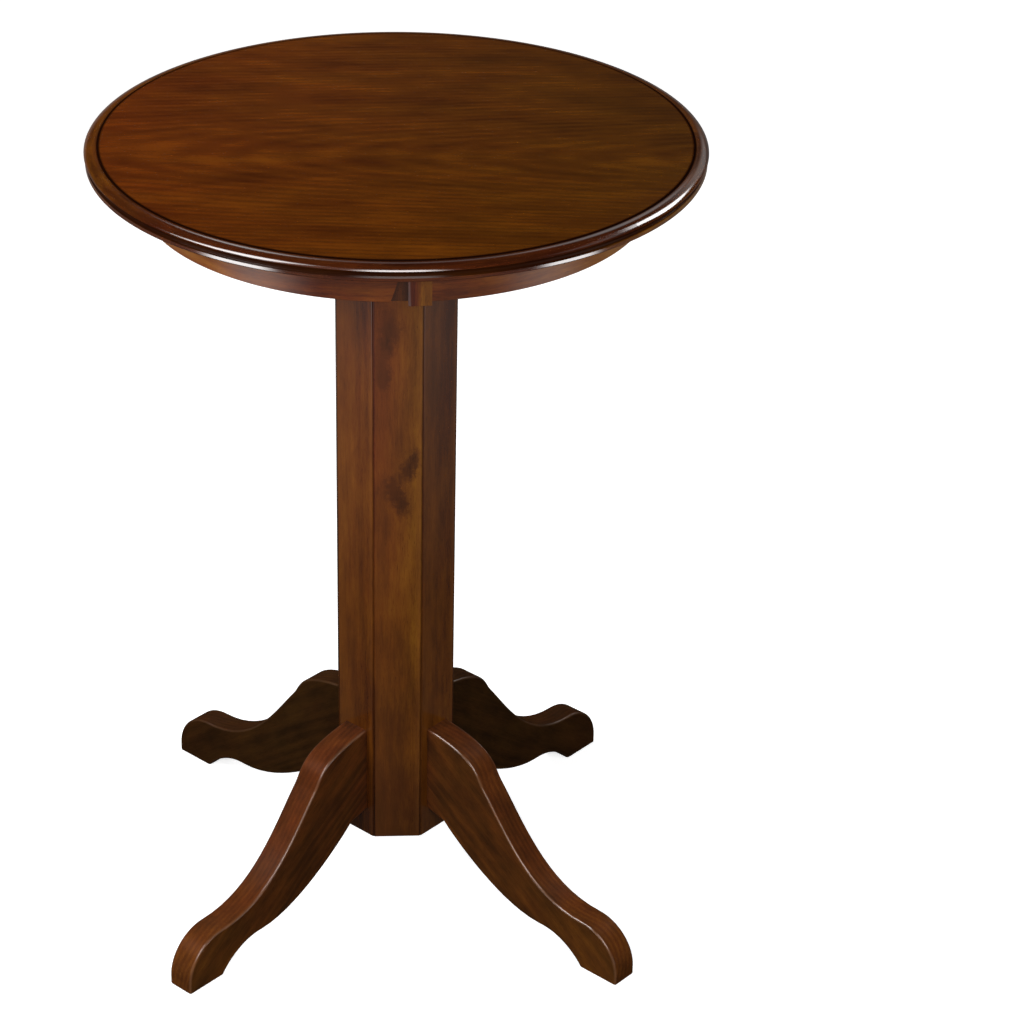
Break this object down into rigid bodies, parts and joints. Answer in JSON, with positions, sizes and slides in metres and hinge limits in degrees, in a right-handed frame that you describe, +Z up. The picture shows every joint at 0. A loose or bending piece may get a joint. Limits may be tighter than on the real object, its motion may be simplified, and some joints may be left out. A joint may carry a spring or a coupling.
{
  "type": "pub table",
  "caption": "Round bar-height pub table with a moulded edge and apron on an octagonal column with curved legs.",
  "frame": {"origin": "on the floor, under the middle of the round top", "axes": "+Z up; -Y is the front, where the open joint in the apron lies; the legs stand on the diagonals of X and Y"},
  "size_m": [0.7618, 0.7618, 1.0668],
  "materials": {
    "stained_top": "chestnut-stained veneer under satin lacquer",
    "stained_wood": "chestnut-stained hardwood under semi-gloss lacquer",
    "bare_wood": "planed, unfinished",
    "core_board": "sanded fibreboard",
    "plate_ply": "stained plywood",
    "zinc_steel": "zinc plated"
  },
  "bodies": {
    "root": {"top_core": "core_board", "top_veneer": "stained_top", "back_veneer": "stained_top", "apron_left": "stained_wood", "apron_right": "stained_wood", "apron_key": "stained_wood", "apron_splice": "bare_wood", "apron_splice_front": "stained_wood", "block_screws": "zinc_steel", "mounting_plate": "plate_ply", "plate_screws": "zinc_steel", "lag_screws": "zinc_steel", "column_top_block": "bare_wood", "base_ring": "bare_wood", "leg_bolts": "zinc_steel", "leg_washers": "zinc_steel", "leg_nuts": "zinc_steel", "edge_right": "stained_wood", "stave_right": "stained_wood", "edge_rear": "stained_wood", "stave_rear": "stained_wood", "edge_left": "stained_wood", "stave_left": "stained_wood", "edge_front": "stained_wood", "stave_front": "stained_wood", "stave_right_rear": "stained_wood", "leg_right_rear": "stained_wood", "stave_left_rear": "stained_wood", "leg_left_rear": "stained_wood", "stave_left_front": "stained_wood", "leg_left_front": "stained_wood", "stave_right_front": "stained_wood", "leg_right_front": "stained_wood", "glue_block_1": "bare_wood", "glue_block_2": "bare_wood", "glue_block_3": "bare_wood", "glue_block_4": "bare_wood", "glue_block_5": "bare_wood", "glue_block_6": "bare_wood", "glue_block_7": "bare_wood", "glue_block_8": "bare_wood"}
  },
  "joints": []
}
